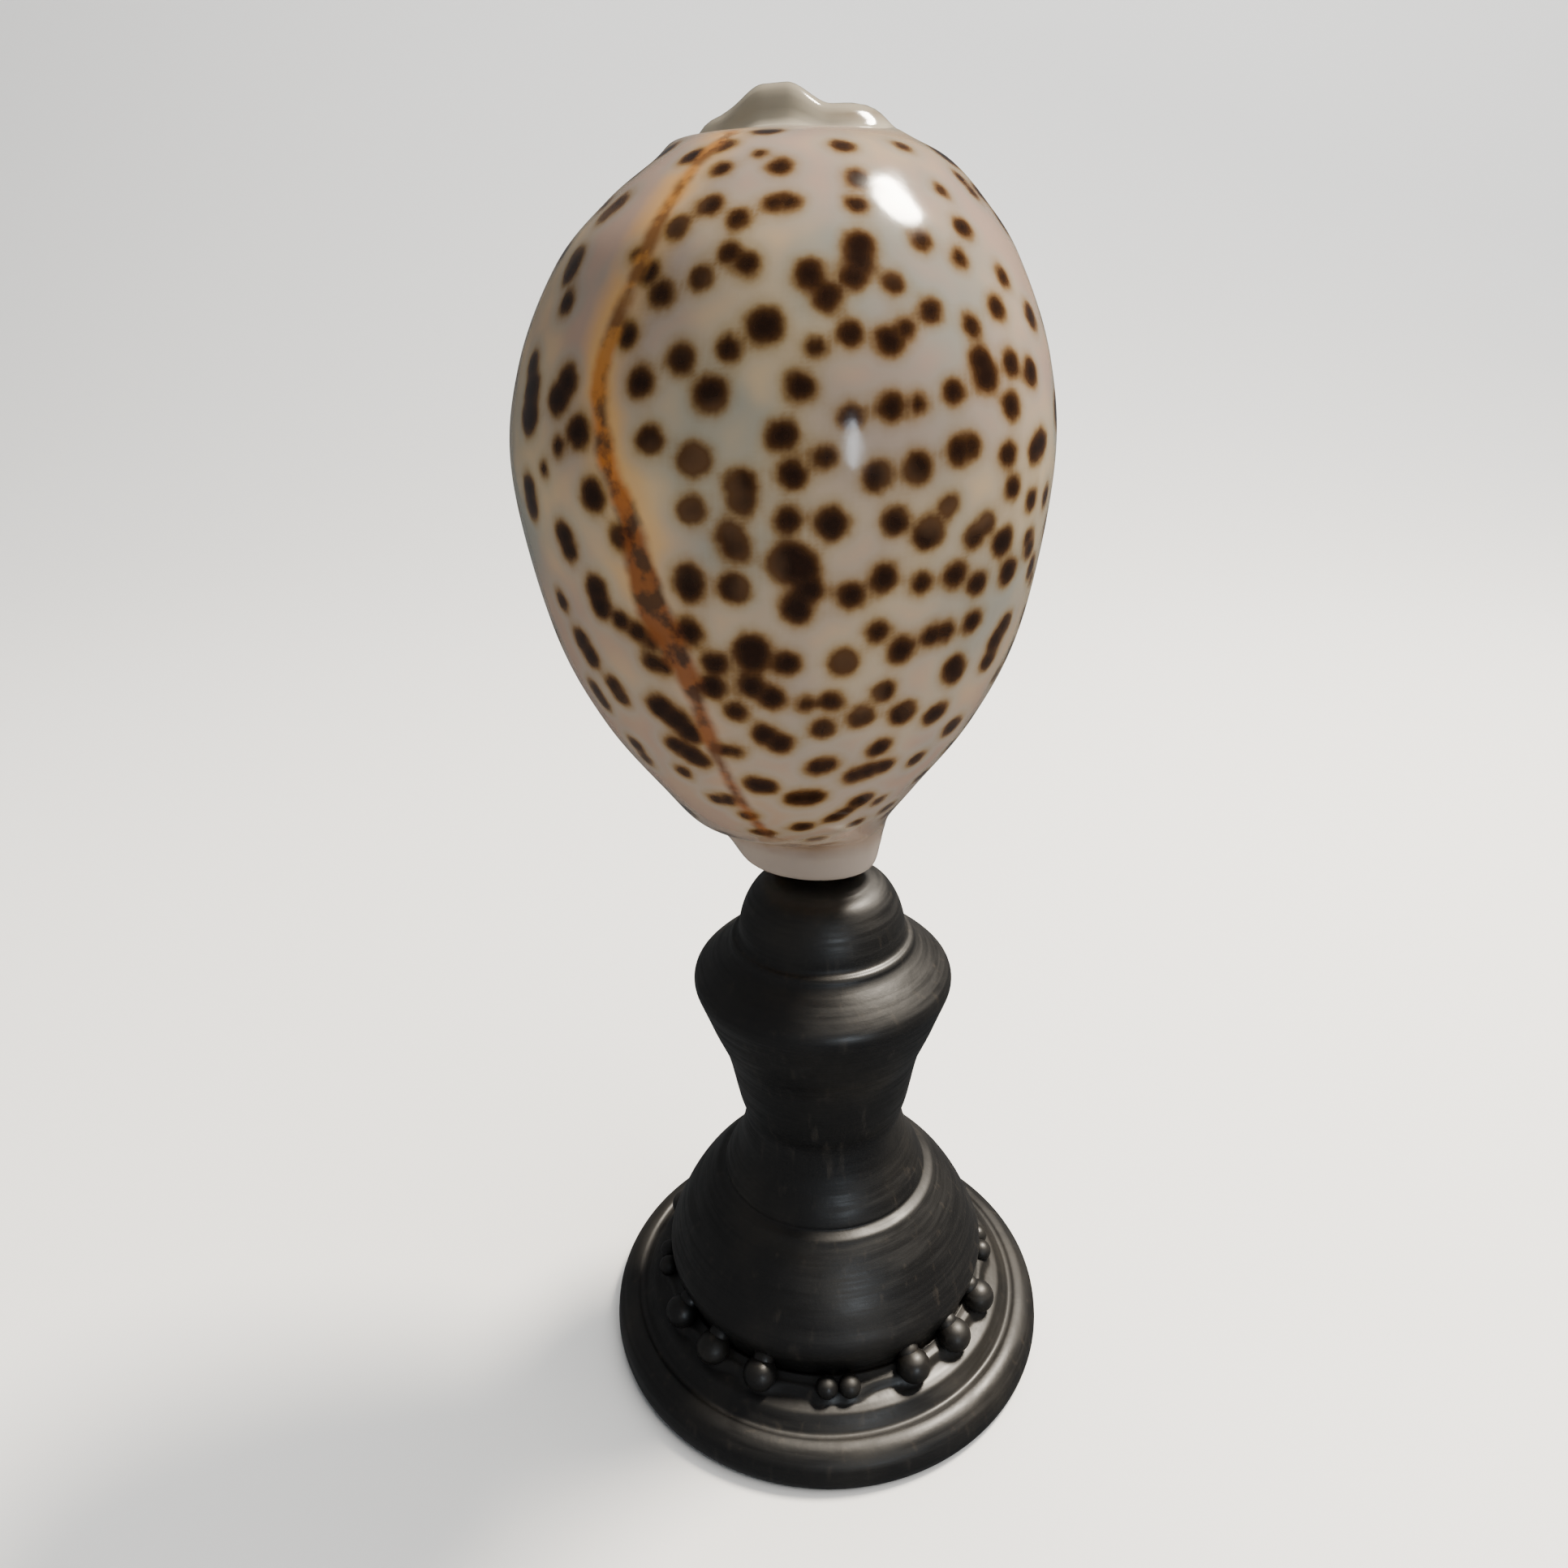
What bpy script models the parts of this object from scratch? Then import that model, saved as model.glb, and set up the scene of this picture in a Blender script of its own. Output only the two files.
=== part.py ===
import math

import bmesh
import bpy
from mathutils import Matrix

MM = 0.001

# Turned stand: radius and height of every edge of its outline, from the foot up, in millimetres
STAND_SIDES = 40
STAND_OUTLINE = (
    (29.6, 0.0), (30.3, 2.0), (29.9, 3.9), (28.8, 5.2), (27.2, 5.6), (26.2, 5.7),
    (25.2, 6.8), (24.2, 7.4), (21.5, 8.4), (20.6, 9.2), (21.3, 11.4), (21.9, 14.0),
    (21.0, 16.6), (19.2, 20.5), (16.6, 24.2), (15.0, 26.0), (13.6, 26.6), (13.6, 27.3),
    (12.2, 30.0), (10.9, 33.6), (10.5, 36.0), (11.3, 39.0), (12.3, 44.6), (13.0, 47.2),
    (14.3, 50.2), (15.7, 54.2), (16.4, 56.6), (16.1, 58.0), (14.5, 59.8), (12.2, 61.6),
    (11.5, 62.6), (10.6, 63.2), (10.3, 65.0), (9.7, 67.2), (8.8, 69.0), (7.1, 70.3),
    (5.2, 70.7),
)

# Carved beads round the foot of the belly: four repeats of a small pair and three large drops
BEAD_REPEATS = 4
BEAD_START_DEG = 3.9
SMALL_BEAD_TURNS_DEG = (-3.7, 3.7)
SMALL_BEAD_RING_RADIUS = 22.6
SMALL_BEAD_HEIGHT = 9.1
SMALL_BEAD_RADIUS = 1.35
DROP_TURNS_DEG = (26.0, 45.0, 64.0)
DROP_RING_RADIUS = 22.7
DROP_HEIGHT = 10.0
DROP_RADIUS = 2.15
DROP_HALF_HEIGHT = 2.7
BEAD_SIDES = 8
BEAD_RINGS = 5

# Dab of glue between the cap of the stand and the tip of the shell
GLUE_SIDES = 24
GLUE_CENTRE = (-0.9, 1.6)
GLUE_HALF_SIZES = (5.6, 2.8)
GLUE_LOBES = 3
GLUE_LOBE_SHARE = 0.08
GLUE_EDGE_SHARE = 0.94
GLUE_BOTTOM = 71.0
GLUE_TOP = 71.6

# Where the shell stands: its own axis, its lean, and the turn of its back to the viewer's left
SHELL_AXIS_X = -3.8
SHELL_AXIS_Y = -4.0
SHELL_WIDEST_HEIGHT = 120.7
SHELL_LEAN = 0.022
SHELL_TURN_DEG = 20.0

# Cross sections of the shell from its narrow lower end to its broad upper end, in millimetres:
# height at the back hump, height at the lips, left, right, hump and base distance from its axis
SHELL_SECTIONS = (
    (71.9, 71.9, -5.6, 7.6, 1.9, 9.6),
    (72.7, 72.7, -7.4, 9.4, 0.5, 10.8),
    (75.2, 75.1, -9.7, 10.0, 0.1, 11.6),
    (77.4, 77.2, -12.0, 10.4, -0.8, 12.2),
    (80.6, 80.2, -13.3, 11.6, -6.6, 13.2),
    (86.4, 86.0, -15.0, 15.5, -13.3, 14.6),
    (95.0, 94.8, -20.9, 21.3, -18.9, 16.0),
    (105.4, 105.4, -25.2, 25.5, -22.9, 16.8),
    (120.7, 120.7, -27.9, 27.5, -25.0, 17.0),
    (131.0, 131.0, -26.4, 26.1, -23.7, 16.8),
    (140.0, 139.6, -22.3, 22.2, -20.0, 16.4),
    (145.4, 144.4, -17.6, 18.2, -15.4, 15.8),
    (148.7, 147.6, -13.8, 14.6, -10.6, 15.2),
    (150.4, 149.8, -13.4, 10.8, -5.4, 14.8),
    (150.8, 151.3, -13.5, 8.8, -0.6, 14.4),
    (150.6, 152.3, -13.0, 7.8, 3.0, 14.0),
    (152.3, 153.2, -11.7, 6.4, 4.2, 13.4),
    (153.1, 153.7, -10.1, 5.2, 4.9, 12.6),
    (153.4, 153.9, -8.4, 4.0, 5.8, 11.8),
)
WIDEST_SHARE_FROM_BASE = 0.40
BASE_SQUARENESS = 0.80

# At the upper end the left lobe rises in a hill above the level of the right one
LOBE_RISE = 2.2
LOBE_CENTRE_X = -3.8
LOBE_HALF_WIDTH = 5.5
LOBE_FROM_HEIGHT = 150.5

# The opening along the base: a narrow toothed slit between two lips rolled inward
SLIT_CENTRES = ((71.9, 2.0), (90.0, -0.6), (115.0, -2.0), (140.0, -1.8), (153.9, -0.9))
SLIT_WIDTH = 3.8
LIP_ROLL = 2.8
LIP_ROLL_SHARE = 0.2
LIP_DEPTH_SHARE = 1.3
TEETH = 22
TEETH_FROM_HEIGHT = 78.5
TEETH_TO_HEIGHT = 149.0
TOOTH_HEIGHT = 0.6

# The hollow inside: wall thickness, and the size of the two canals it narrows to at the ends
SIDE_WALL = 3.0
HUMP_WALL = 2.5
LIP_WALL = 1.5
CANAL_HALF_WIDTH = 2.6
CANAL_DEPTH = 2.4
CANAL_LENGTH = 9.0
BACK_POINTS = 17
ROLL_POINTS = 3
END_STEPS = 4


def material(name, colour, roughness, metallic=0.0):
    made = bpy.data.materials.new(name)
    made.use_nodes = True
    shader = made.node_tree.nodes["Principled BSDF"]
    shader.inputs["Base Color"].default_value = (*colour, 1.0)
    shader.inputs["Roughness"].default_value = roughness
    shader.inputs["Metallic"].default_value = metallic
    return made


def add_object(name, bm, surface):
    bmesh.ops.triangulate(bm, faces=bm.faces[:])
    bmesh.ops.recalc_face_normals(bm, faces=bm.faces[:])
    mesh = bpy.data.meshes.new(name)
    bm.to_mesh(mesh)
    bm.free()
    mesh.materials.append(surface)
    for polygon in mesh.polygons:
        polygon.use_smooth = True
    made = bpy.data.objects.new(name, mesh)
    bpy.context.scene.collection.objects.link(made)
    return made


def skin_rings(bm, rings):
    for lower, upper in zip(rings, rings[1:]):
        for i, start in enumerate(lower):
            j = (i + 1) % len(lower)
            bm.faces.new((start, lower[j], upper[j], upper[i]))


def turned_body(outline, sides):
    bm = bmesh.new()
    rings = []
    for radius, height in outline:
        ring = []
        for i in range(sides):
            turn = 2.0 * math.pi * i / sides
            spot = (radius * math.cos(turn) * MM, radius * math.sin(turn) * MM, height * MM)
            ring.append(bm.verts.new(spot))
        rings.append(ring)
    skin_rings(bm, rings)
    bm.faces.new(list(reversed(rings[0])))
    bm.faces.new(rings[-1])
    return bm


def add_bead(bm, turn_deg, ring_radius, height, radius, half_height):
    turn = math.radians(turn_deg)
    centre = (ring_radius * math.sin(turn) * MM, -ring_radius * math.cos(turn) * MM, height * MM)
    size = Matrix.Diagonal((radius * MM, radius * MM, half_height * MM, 1.0))
    place = Matrix.Translation(centre) @ Matrix.Rotation(turn, 4, "Z") @ size
    bmesh.ops.create_uvsphere(
        bm, u_segments=BEAD_SIDES, v_segments=BEAD_RINGS, radius=1.0, matrix=place
    )


def bead_ring():
    bm = bmesh.new()
    for repeat in range(BEAD_REPEATS):
        start = BEAD_START_DEG + 360.0 * repeat / BEAD_REPEATS
        for turn in SMALL_BEAD_TURNS_DEG:
            add_bead(
                bm, start + turn, SMALL_BEAD_RING_RADIUS, SMALL_BEAD_HEIGHT,
                SMALL_BEAD_RADIUS, SMALL_BEAD_RADIUS,
            )
        for turn in DROP_TURNS_DEG:
            add_bead(
                bm, start + turn, DROP_RING_RADIUS, DROP_HEIGHT, DROP_RADIUS, DROP_HALF_HEIGHT
            )
    return bm


def fuse(target, extra):
    joint = target.modifiers.new("fuse", "BOOLEAN")
    joint.operation = "UNION"
    joint.solver = "EXACT"
    joint.object = extra
    extra.hide_render = True
    extra.display_type = "WIRE"


def smooth_step(share):
    held = min(max(share, 0.0), 1.0)
    return held * held * (3.0 - 2.0 * held)


def blend(first, second, share):
    return first + (second - first) * share


def section_at(place):
    """All six sizes of the shell at a place counted in rows of the section table."""
    last = len(SHELL_SECTIONS) - 1
    row = min(int(place), last - 1)
    t = place - row
    near = [SHELL_SECTIONS[min(max(row + k, 0), last)] for k in (-1, 0, 1, 2)]
    sizes = []
    for a, b, c, d in zip(*near):
        bend = (c - a) * t + (2.0 * a - 5.0 * b + 4.0 * c - d) * t * t
        sizes.append(b + 0.5 * (bend + (3.0 * b - a - 3.0 * c + d) * t ** 3))
    return sizes


def place_at_height(height):
    """Place in the section table where the lips pass a height."""
    low, high = 0.0, float(len(SHELL_SECTIONS) - 1)
    while high - low > 1e-6:
        middle = 0.5 * (low + high)
        if section_at(middle)[1] < height:
            low = middle
        else:
            high = middle
    return low


def slit_centre(height):
    for (z0, x0), (z1, x1) in zip(SLIT_CENTRES, SLIT_CENTRES[1:]):
        if height <= z1:
            return blend(x0, x1, smooth_step((height - z0) / (z1 - z0)))
    return SLIT_CENTRES[-1][1]


def side_sine(distance, half_width):
    return min(max(distance / half_width, 0.02), 0.95) ** (1.0 / BASE_SQUARENESS)


def arc(centre, half_width, hump, base, first, last, count):
    """Points of one wall from the left lip round the hump to the right lip.

    They stand out far enough for the middles of the flat facets to lie on the true curve.
    """
    spread = 1.0 / math.cos(0.5 * (last - first) / (count - 1))
    points = []
    for i in range(count):
        turn = blend(first, last, i / (count - 1))
        sine, cosine = math.sin(turn), math.cos(turn)
        power = blend(1.0, BASE_SQUARENESS, smooth_step(cosine + 0.5))
        x = centre[0] - math.copysign(spread * half_width * abs(sine) ** power, sine)
        reach = base if cosine > 0.0 else spread * hump
        y = centre[1] + math.copysign(reach * abs(cosine) ** power, cosine)
        points.append((x, y, 0.5 * (1.0 + cosine)))
    return points


def shell_walls(place, tooth):
    """Outer and inner wall points of one station, each from the left lip to the right lip."""
    z_hump, z_lip, left, right, hump, base = section_at(place)
    half_width = 0.5 * (right - left)
    centre = (0.5 * (left + right), blend(base, hump, WIDEST_SHARE_FROM_BASE))
    hump_reach, base_reach = centre[1] - hump, base - centre[1]
    slit = slit_centre(z_lip)
    half_slit = 0.5 * SLIT_WIDTH
    roll = min(LIP_ROLL, LIP_ROLL_SHARE * half_width)
    roll_depth = LIP_DEPTH_SHARE * roll

    first = math.asin(side_sine(centre[0] - slit + half_slit + roll, half_width))
    last = 2.0 * math.pi - math.asin(side_sine(slit + half_slit + roll - centre[0], half_width))
    back = arc(centre, half_width, hump_reach, base_reach, first, last, BACK_POINTS)
    outer = []
    for k in range(ROLL_POINTS, 0, -1):
        bend = 0.5 * math.pi * k / ROLL_POINTS
        reach = roll * math.sin(bend) + tooth * TOOTH_HEIGHT * math.sin(bend)
        drop = roll_depth * (1.0 - math.cos(bend)) - tooth * TOOTH_HEIGHT * math.cos(bend)
        outer.append((back[0][0] + reach, back[0][1] - drop, back[0][2]))
    outer += back
    for k in range(1, ROLL_POINTS + 1):
        bend = 0.5 * math.pi * k / ROLL_POINTS
        reach = roll * math.sin(bend) + tooth * TOOTH_HEIGHT * math.sin(bend)
        drop = roll_depth * (1.0 - math.cos(bend)) - tooth * TOOTH_HEIGHT * math.cos(bend)
        outer.append((back[-1][0] - reach, back[-1][1] - drop, back[-1][2]))

    low_end, high_end = SHELL_SECTIONS[0][1], SHELL_SECTIONS[-1][1]
    from_end = min(z_lip - low_end, high_end - z_lip)
    canal = 1.0 - smooth_step(from_end / CANAL_LENGTH)
    inner_width = blend(max(half_width - SIDE_WALL, CANAL_HALF_WIDTH), CANAL_HALF_WIDTH, canal)
    inner_hump = blend(max(hump_reach - HUMP_WALL, CANAL_DEPTH), CANAL_DEPTH, canal)
    inner_base = max(base_reach - roll_depth - LIP_WALL, 0.3 * base_reach)
    middle = (blend(centre[0], slit, canal), centre[1])
    first = math.asin(side_sine(middle[0] - slit + half_slit, inner_width))
    last = 2.0 * math.pi - math.asin(side_sine(slit + half_slit - middle[0], inner_width))
    inner = arc(middle, inner_width, inner_hump, inner_base, first, last, len(outer))
    return z_hump, z_lip, outer, inner


def shell_spot(point, z_hump, z_lip):
    x, y, lip_share = point
    height = blend(z_hump, z_lip, lip_share)
    turn = math.radians(SHELL_TURN_DEG)
    lean = SHELL_LEAN * (height - SHELL_WIDEST_HEIGHT)
    world_x = SHELL_AXIS_X + lean + x * math.cos(turn) + y * math.sin(turn)
    world_y = SHELL_AXIS_Y - x * math.sin(turn) + y * math.cos(turn)
    lobe_length = SHELL_SECTIONS[-1][1] - LOBE_FROM_HEIGHT
    top = smooth_step((z_lip - LOBE_FROM_HEIGHT) / lobe_length)
    near = 1.0 - abs(world_x - LOBE_CENTRE_X) / LOBE_HALF_WIDTH
    height += LOBE_RISE * top * smooth_step(near)
    return world_x * MM, world_y * MM, height * MM


def shell_stations():
    """Places of the stations with the share of a tooth each one carries."""
    low, high = SHELL_SECTIONS[0][1], SHELL_SECTIONS[-1][1]
    stations = []
    for i in range(END_STEPS):
        stations.append((place_at_height(blend(low, TEETH_FROM_HEIGHT, i / END_STEPS)), 0.0))
    steps = 2 * TEETH
    for i in range(steps + 1):
        height = blend(TEETH_FROM_HEIGHT, TEETH_TO_HEIGHT, i / steps)
        stations.append((place_at_height(height), float(i % 2)))
    end_row = stations[-1][0]
    last_row = float(len(SHELL_SECTIONS) - 1)
    top_steps = 2 * END_STEPS
    for i in range(1, top_steps + 1):
        stations.append((blend(end_row, last_row, i / top_steps), 0.0))
    stations[0] = (0.0, 0.0)
    return stations


def shell_body():
    bm = bmesh.new()
    rings = []
    count = 0
    for place, tooth in shell_stations():
        z_hump, z_lip, outer, inner = shell_walls(place, tooth)
        count = len(outer)
        loop = outer + list(reversed(inner))
        rings.append([bm.verts.new(shell_spot(point, z_hump, z_lip)) for point in loop])
    skin_rings(bm, rings)
    for ring in (rings[0], rings[-1]):
        for i in range(count - 1):
            j = len(ring) - 1 - i
            bm.faces.new((ring[i], ring[i + 1], ring[j - 1], ring[j]))
    return bm


def glue_body():
    bm = bmesh.new()
    rings = []
    middle = 0.5 * (GLUE_BOTTOM + GLUE_TOP)
    for height, share in ((GLUE_BOTTOM, GLUE_EDGE_SHARE), (middle, 1.0), (GLUE_TOP, GLUE_EDGE_SHARE)):
        ring = []
        for i in range(GLUE_SIDES):
            turn = 2.0 * math.pi * i / GLUE_SIDES
            reach = share * (1.0 + GLUE_LOBE_SHARE * math.cos(GLUE_LOBES * turn))
            x = GLUE_CENTRE[0] + reach * GLUE_HALF_SIZES[0] * math.cos(turn)
            y = GLUE_CENTRE[1] + reach * GLUE_HALF_SIZES[1] * math.sin(turn)
            ring.append(bm.verts.new((x * MM, y * MM, height * MM)))
        rings.append(ring)
    skin_rings(bm, rings)
    bm.faces.new(list(reversed(rings[0])))
    bm.faces.new(rings[-1])
    return bm


for old in list(bpy.data.objects):
    bpy.data.objects.remove(old, do_unlink=True)

shell_surface = material("shell_surface", (0.80, 0.70, 0.58), 0.12)
stand_surface = material("stand_surface", (0.012, 0.011, 0.010), 0.35)
glue_surface = material("glue_surface", (0.36, 0.22, 0.08), 0.30)

stand = add_object("stand", turned_body(STAND_OUTLINE, STAND_SIDES), stand_surface)
beads = add_object("bead_cutter", bead_ring(), stand_surface)
fuse(stand, beads)
add_object("glue", glue_body(), glue_surface)
add_object("shell", shell_body(), shell_surface)
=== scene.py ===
import math

import bmesh
import bpy
import numpy as np
from mathutils import Matrix, Vector
from mathutils.bvhtree import BVHTree


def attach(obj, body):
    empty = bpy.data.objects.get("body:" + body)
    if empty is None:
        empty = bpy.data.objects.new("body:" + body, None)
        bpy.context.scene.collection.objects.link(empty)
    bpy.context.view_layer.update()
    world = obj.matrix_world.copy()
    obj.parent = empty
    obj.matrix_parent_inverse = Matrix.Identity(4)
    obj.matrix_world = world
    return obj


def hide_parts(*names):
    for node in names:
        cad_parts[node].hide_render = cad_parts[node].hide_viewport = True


MM = 0.001

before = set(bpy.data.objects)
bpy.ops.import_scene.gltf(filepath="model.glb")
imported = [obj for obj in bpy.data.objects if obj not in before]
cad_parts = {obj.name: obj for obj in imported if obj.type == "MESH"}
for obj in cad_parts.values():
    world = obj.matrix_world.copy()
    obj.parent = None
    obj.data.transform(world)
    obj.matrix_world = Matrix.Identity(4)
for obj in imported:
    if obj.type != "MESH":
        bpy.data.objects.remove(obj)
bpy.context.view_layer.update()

# Camera: how the photograph was taken, worked out from the ellipses of the stand's rings
PHOTO_SIZE = 1932
FOCAL_PX = 1400.0
CAMERA_SPOT = Vector((0.0, -0.124, 0.13764))
CAMERA_PITCH = 0.413643
CAMERA_YAW = 0.0351043
CAMERA_ROLL = -0.0235938
SENSOR_MM = 36.0

# Where the reflections of the two small lights show in the photograph, and how far off they are
KEY_SHOWS_AT = (1110, 255)
KEY_DISTANCE = 0.60
WINDOW_SHOWS_AT = (1048, 545)
WINDOW_DISTANCE = 0.70

# Shell: the same sections as the solid, in millimetres
SHELL_AXIS = (-3.8, -4.0)
SHELL_WIDEST_HEIGHT = 120.7
SHELL_LEAN = 0.022
SHELL_TURN_DEG = 20.0
SHELL_SECTIONS = np.array((
    (71.9, 71.9, -5.6, 7.6, 1.9, 9.6),
    (72.7, 72.7, -7.4, 9.4, 0.5, 10.8),
    (75.2, 75.1, -9.7, 10.0, 0.1, 11.6),
    (77.4, 77.2, -12.0, 10.4, -0.8, 12.2),
    (80.6, 80.2, -13.3, 11.6, -6.6, 13.2),
    (86.4, 86.0, -15.0, 15.5, -13.3, 14.6),
    (95.0, 94.8, -20.9, 21.3, -18.9, 16.0),
    (105.4, 105.4, -25.2, 25.5, -22.9, 16.8),
    (120.7, 120.7, -27.9, 27.5, -25.0, 17.0),
    (131.0, 131.0, -26.4, 26.1, -23.7, 16.8),
    (140.0, 139.6, -22.3, 22.2, -20.0, 16.4),
    (145.4, 144.4, -17.6, 18.2, -15.4, 15.8),
    (148.7, 147.6, -13.8, 14.6, -10.6, 15.2),
    (150.4, 149.8, -13.4, 10.8, -5.4, 14.8),
    (150.8, 151.3, -13.5, 8.8, -0.6, 14.4),
    (150.6, 152.3, -13.0, 7.8, 3.0, 14.0),
    (152.3, 153.2, -11.7, 6.4, 4.2, 13.4),
    (153.1, 153.7, -10.1, 5.2, 4.9, 12.6),
    (153.4, 153.9, -8.4, 4.0, 5.8, 11.8),
))
WIDEST_SHARE_FROM_BASE = 0.40
BASE_SQUARENESS = 0.80
SLIT_CENTRES = ((71.9, 2.0), (90.0, -0.6), (115.0, -2.0), (140.0, -1.8), (153.9, -0.9))
SLIT_WIDTH = 3.8
LIP_ROLL = 2.8
LIP_ROLL_SHARE = 0.2
LIP_DEPTH_SHARE = 1.3
TEETH = 22
TEETH_FROM_HEIGHT = 78.5
TEETH_TO_HEIGHT = 149.0
TOOTH_HEIGHT = 0.6
SIDE_WALL = 3.0
HUMP_WALL = 2.5
LIP_WALL = 1.5
CANAL_HALF_WIDTH = 2.6
CANAL_DEPTH = 2.4
CANAL_LENGTH = 9.0
LOBE_RISE = 2.0
LOBE_CENTRE_X = -3.8
LOBE_HALF_WIDTH = 5.5
LOBE_FULLNESS = 1.25
LOBE_FROM_HEIGHT = 150.5
STATIONS = 250
BACK_POINTS = 270
ROLL_POINTS = 10
INNER_POINTS = 48


def smooth_step(share):
    held = np.clip(share, 0.0, 1.0)
    return held * held * (3.0 - 2.0 * held)


def blend(first, second, share):
    return first + (second - first) * share


def section_at(place):
    """All six sizes of the shell at a place counted in rows of the section table."""
    last = len(SHELL_SECTIONS) - 1
    row = min(int(place), last - 1)
    t = place - row
    a, b, c, d = (SHELL_SECTIONS[min(max(row + k, 0), last)] for k in (-1, 0, 1, 2))
    bend = (c - a) * t + (2.0 * a - 5.0 * b + 4.0 * c - d) * t * t
    return b + 0.5 * (bend + (3.0 * b - a - 3.0 * c + d) * t ** 3)


def slit_centre(height):
    for (z0, x0), (z1, x1) in zip(SLIT_CENTRES, SLIT_CENTRES[1:]):
        if height <= z1:
            return blend(x0, x1, smooth_step((height - z0) / (z1 - z0)))
    return SLIT_CENTRES[-1][1]


def side_sine(distance, half_width):
    return min(max(distance / half_width, 0.02), 0.95) ** (1.0 / BASE_SQUARENESS)


def arc(centre, half_width, hump, base, first, last, count):
    """One wall from the left lip round the hump to the right lip: x, y and lip share."""
    turn = np.linspace(first, last, count)
    sine, cosine = np.sin(turn), np.cos(turn)
    power = blend(1.0, BASE_SQUARENESS, smooth_step(cosine + 0.5))
    x = centre[0] - np.sign(sine) * half_width * np.abs(sine) ** power
    reach = np.where(cosine > 0.0, base, hump)
    y = centre[1] + np.sign(cosine) * reach * np.abs(cosine) ** power
    return np.stack((x, y, 0.5 * (1.0 + cosine)), axis=1)


def rolled_lip(edge, side, roll, tooth):
    """A lip's rounded edge from the base into the slit; side is 1 on the left and -1 on the right."""
    bend = 0.5 * math.pi * np.arange(1, ROLL_POINTS + 1) / ROLL_POINTS
    reach = (roll + tooth * TOOTH_HEIGHT) * np.sin(bend)
    drop = LIP_DEPTH_SHARE * roll * (1.0 - np.cos(bend)) - tooth * TOOTH_HEIGHT * np.sin(2.0 * bend)
    return np.stack((edge[0] + side * reach, edge[1] - drop, np.full(ROLL_POINTS, edge[2])), axis=1)


def tooth_share(height):
    if not TEETH_FROM_HEIGHT < height < TEETH_TO_HEIGHT:
        return 0.0
    turn = (height - TEETH_FROM_HEIGHT) / (TEETH_TO_HEIGHT - TEETH_FROM_HEIGHT) * TEETH
    return (0.5 - 0.5 * math.cos(2.0 * math.pi * turn)) ** 1.5


def shell_walls(place):
    z_hump, z_lip, left, right, hump, base = section_at(place)
    half_width = 0.5 * (right - left)
    centre = (0.5 * (left + right), blend(base, hump, WIDEST_SHARE_FROM_BASE))
    hump_reach, base_reach = centre[1] - hump, base - centre[1]
    slit = slit_centre(z_lip)
    half_slit = 0.5 * SLIT_WIDTH
    roll = min(LIP_ROLL, LIP_ROLL_SHARE * half_width)
    tooth = tooth_share(z_lip)
    first = math.asin(side_sine(centre[0] - slit + half_slit + roll, half_width))
    last = 2.0 * math.pi - math.asin(side_sine(slit + half_slit + roll - centre[0], half_width))
    back = arc(centre, half_width, hump_reach, base_reach, first, last, BACK_POINTS)
    left_lip = rolled_lip(back[0], 1.0, roll, tooth)[::-1]
    right_lip = rolled_lip(back[-1], -1.0, roll, tooth)
    outer = np.concatenate((left_lip, back, right_lip))

    low_end, high_end = SHELL_SECTIONS[0][1], SHELL_SECTIONS[-1][1]
    canal = 1.0 - smooth_step(min(z_lip - low_end, high_end - z_lip) / CANAL_LENGTH)
    inner_width = blend(max(half_width - SIDE_WALL, CANAL_HALF_WIDTH), CANAL_HALF_WIDTH, canal)
    inner_hump = blend(max(hump_reach - HUMP_WALL, CANAL_DEPTH), CANAL_DEPTH, canal)
    inner_base = max(base_reach - LIP_DEPTH_SHARE * roll - LIP_WALL, 0.3 * base_reach)
    middle = (blend(centre[0], slit, canal), centre[1])
    first = math.asin(side_sine(middle[0] - slit + half_slit, inner_width))
    last = 2.0 * math.pi - math.asin(side_sine(slit + half_slit - middle[0], inner_width))
    inner = arc(middle, inner_width, inner_hump, inner_base, first, last, INNER_POINTS)
    return z_hump, z_lip, outer, inner


def shell_spots(points, z_hump, z_lip):
    """Points of a wall in the part's own frame, in metres."""
    x, y, lip_share = points.T
    height = z_hump + (z_lip - z_hump) * lip_share
    turn = math.radians(SHELL_TURN_DEG)
    lean = SHELL_LEAN * (height - SHELL_WIDEST_HEIGHT)
    world_x = SHELL_AXIS[0] + lean + x * math.cos(turn) + y * math.sin(turn)
    world_y = SHELL_AXIS[1] - x * math.sin(turn) + y * math.cos(turn)
    lobe_length = SHELL_SECTIONS[-1][1] - LOBE_FROM_HEIGHT
    top = smooth_step((z_lip - LOBE_FROM_HEIGHT) / lobe_length)
    near = LOBE_FULLNESS * (1.0 - np.abs(world_x - LOBE_CENTRE_X) / LOBE_HALF_WIDTH)
    height = height + LOBE_RISE * top * smooth_step(near)
    return np.stack((world_x, world_y, height), axis=1) * MM


def mesh_object(name, verts, faces, surface):
    mesh = bpy.data.meshes.new(name)
    mesh.from_pydata(verts, [], faces)
    mesh.update()
    mesh.polygons.foreach_set("use_smooth", [True] * len(mesh.polygons))
    mesh.materials.append(surface)
    made = bpy.data.objects.new(name, mesh)
    bpy.context.scene.collection.objects.link(made)
    return made


def station_places():
    """Station places, even along the shell's outline so that no face is much longer than the rest."""
    fine = np.linspace(0.0, len(SHELL_SECTIONS) - 1.0, 1200)
    rows = np.array([section_at(p) for p in fine])
    steps = np.abs(np.diff(rows[:, 1])) + 0.25 * np.abs(np.diff(rows[:, 4]))
    along = np.concatenate(([0.0], np.cumsum(steps)))
    return np.interp(np.linspace(0.0, along[-1], STATIONS), along, fine)


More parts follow.
